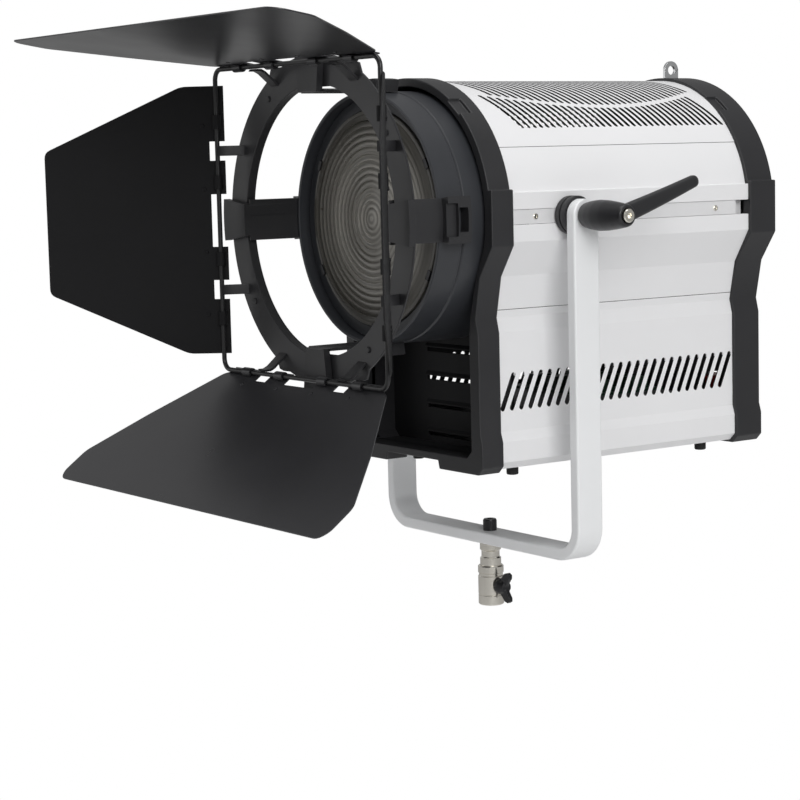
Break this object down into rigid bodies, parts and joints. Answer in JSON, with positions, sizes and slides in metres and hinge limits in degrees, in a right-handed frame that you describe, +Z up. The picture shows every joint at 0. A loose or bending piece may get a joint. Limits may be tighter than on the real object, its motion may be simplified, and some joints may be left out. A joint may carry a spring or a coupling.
{
  "type": "fresnel spotlight",
  "caption": "Location fresnel spotlight: slotted metal lamp head on a sliding tilt yoke with clamp levers, stand receiver, rotating barn doors with hinged leaves and a focusing light engine.",
  "frame": {"origin": "centre of the mouth of the stand receiver's bore, on the yoke's upright axis", "axes": "+Z up along the yoke's upright axis, lens and barn doors face -Y, +X is the side of the clamp lever seen in the picture"},
  "size_m": [0.4608, 0.568, 0.4867],
  "materials": {
    "white_skin": "satin white powder coat",
    "frame_black": "fine-textured moulded black",
    "recess_black": "matt black",
    "barrel_black": "satin blue-black",
    "yoke_silver": "light silver paint",
    "nickel": "nickel plate",
    "black_steel": "blackened",
    "black_plastic": "moulded black",
    "bar_steel": "brushed",
    "lens_glass": "clear pressed glass, prism rings",
    "leaf_black": "matt black",
    "leaf_sheen": "semi-gloss black",
    "wire_black": "black oxide",
    "aluminium": "extruded",
    "led_board": "white solder mask",
    "reflector_bright": "polished",
    "supply_case": "pressed case",
    "board_green": "circuit board",
    "panel_black": "fine texture",
    "display_glass": "tinted window",
    "rubber": "matt",
    "button_grey": "moulded",
    "rocker_red": "moulded",
    "eye_steel": "bright"
  },
  "bodies": {
    "yoke": {"yoke_strap": "yoke_silver", "stand_socket": "nickel", "yoke_bolt": "black_steel", "pivot_spacers": "black_plastic"},
    "head": {"front_frame": "frame_black", "rear_frame": "frame_black", "front_bulkhead": "recess_black", "roof_cover": "white_skin", "right_side_panel": "white_skin", "left_side_panel": "white_skin", "right_lower_panel": "white_skin", "left_lower_panel": "white_skin", "bottom_plate": "white_skin", "rubber_feet": "rubber", "slide_bars": "bar_steel", "pivot_studs": "bar_steel", "rail_screws": "nickel", "barrel": "barrel_black", "lens_holder": "barrel_black", "fresnel_lens": "lens_glass", "lens_tabs": "black_steel", "right_clip": "barrel_black", "left_clip": "barrel_black", "bottom_clip": "barrel_black", "focus_rails": "bar_steel", "power_supply": "supply_case", "driver_board": "board_green", "rear_panel": "panel_black", "display_window": "display_glass", "control_sockets": "black_plastic", "mains_inlet": "black_plastic", "safety_eye": "eye_steel"},
    "right_lever": {"right_lever": "black_plastic", "right_lever_button": "nickel"},
    "left_lever": {"left_lever": "black_plastic", "left_lever_button": "nickel"},
    "wing_screw": {"wing_screw": "black_steel"},
    "top_latch": {"top_latch": "barrel_black"},
    "barn_door": {"door_ring": "leaf_sheen", "door_loop": "wire_black"},
    "top_leaf": {"top_leaf": "leaf_sheen"},
    "bottom_leaf": {"bottom_leaf": "leaf_sheen"},
    "left_leaf": {"left_leaf": "leaf_black"},
    "right_leaf": {"right_leaf": "leaf_black"},
    "focus_drive": {"focus_screw": "bar_steel", "focus_knob": "black_plastic"},
    "light_engine": {"focus_carriage": "aluminium", "led_module": "led_board", "reflector": "reflector_bright", "heat_sink": "aluminium", "fan_frame": "black_plastic"},
    "fan_rotor": {"fan_rotor": "black_plastic"},
    "dimmer_knob": {"dimmer_knob": "black_plastic"},
    "colour_knob": {"colour_knob": "black_plastic"},
    "button_1": {"button_1": "button_grey"},
    "button_2": {"button_2": "button_grey"},
    "button_3": {"button_3": "button_grey"},
    "button_4": {"button_4": "button_grey"},
    "power_rocker": {"power_rocker": "rocker_red"}
  },
  "joints": [
    {"name": "head_tilt", "type": "hinge", "parent": "yoke", "child": "head", "pos_m": [0, 0, 0.334], "axis": [1, 0, 0], "range_deg": [-35, 27]},
    {"name": "right_lever_turn", "type": "hinge", "parent": "yoke", "child": "right_lever", "pos_m": [0.15, 0, 0.334], "axis": [1, 0, 0], "continuous": true},
    {"name": "left_lever_turn", "type": "hinge", "parent": "yoke", "child": "left_lever", "pos_m": [-0.15, 0, 0.334], "axis": [1, 0, 0], "continuous": true},
    {"name": "wing_screw_turn", "type": "hinge", "parent": "yoke", "child": "wing_screw", "pos_m": [0.015, 0, 0.017], "axis": [1, 0, 0], "range_deg": [-540, 0]},
    {"name": "latch_press", "type": "hinge", "parent": "head", "child": "top_latch", "pos_m": [0, -0.121, 0.4385], "axis": [1, 0, 0], "range_deg": [0, 35], "stiffness_Nm_per_rad": 0.6, "springref_deg": -20.05},
    {"name": "door_turn", "type": "hinge", "parent": "head", "child": "barn_door", "pos_m": [0, -0.166, 0.334], "axis": [0, 1, 0], "range_deg": [-12, 12]},
    {"name": "top_leaf_hinge", "type": "hinge", "parent": "barn_door", "child": "top_leaf", "pos_m": [0, -0.186, 0.459], "axis": [-1, 0, 0], "range_deg": [-29.5, 100.5]},
    {"name": "bottom_leaf_hinge", "type": "hinge", "parent": "barn_door", "child": "bottom_leaf", "pos_m": [0, -0.186, 0.209], "axis": [1, 0, 0], "range_deg": [-56, 62]},
    {"name": "left_leaf_hinge", "type": "hinge", "parent": "barn_door", "child": "left_leaf", "pos_m": [-0.121, -0.186, 0.334], "axis": [0, 0, -1], "range_deg": [-120, 70]},
    {"name": "right_leaf_hinge", "type": "hinge", "parent": "barn_door", "child": "right_leaf", "pos_m": [0.121, -0.186, 0.334], "axis": [0, 0, 1], "range_deg": [-113.6, 56.4]},
    {"name": "focus_turn", "type": "hinge", "parent": "head", "child": "focus_drive", "pos_m": [0, 0.225, 0.246], "axis": [0, 1, 0], "range_deg": [-992, 992]},
    {"name": "focus_slide", "type": "slide", "parent": "head", "child": "light_engine", "axis": [0, 1, 0], "range_m": [-0.055, 0.055]},
    {"name": "fan_spin", "type": "hinge", "parent": "light_engine", "child": "fan_rotor", "pos_m": [0, 0.095, 0.334], "axis": [0, 1, 0], "continuous": true},
    {"name": "dimmer_turn", "type": "hinge", "parent": "head", "child": "dimmer_knob", "pos_m": [0.034, 0.222, 0.25], "axis": [0, 1, 0], "range_deg": [-140, 140]},
    {"name": "colour_turn", "type": "hinge", "parent": "head", "child": "colour_knob", "pos_m": [0.062, 0.222, 0.25], "axis": [0, 1, 0], "range_deg": [-140, 140]},
    {"name": "button_1_press", "type": "slide", "parent": "head", "child": "button_1", "axis": [0, -1, 0], "range_m": [0, 0.002], "stiffness_N_per_m": 400},
    {"name": "button_2_press", "type": "slide", "parent": "head", "child": "button_2", "axis": [0, -1, 0], "range_m": [0, 0.002], "stiffness_N_per_m": 400},
    {"name": "button_3_press", "type": "slide", "parent": "head", "child": "button_3", "axis": [0, -1, 0], "range_m": [0, 0.002], "stiffness_N_per_m": 400},
    {"name": "button_4_press", "type": "slide", "parent": "head", "child": "button_4", "axis": [0, -1, 0], "range_m": [0, 0.002], "stiffness_N_per_m": 400},
    {"name": "rocker_tilt", "type": "hinge", "parent": "head", "child": "power_rocker", "pos_m": [0.054, 0.214, 0.176], "axis": [-1, 0, 0], "range_deg": [0, 16]}
  ],
  "couplings": [
    {"joint": "focus_turn", "follows": "focus_slide", "rad_per_m": 314.16}
  ]
}
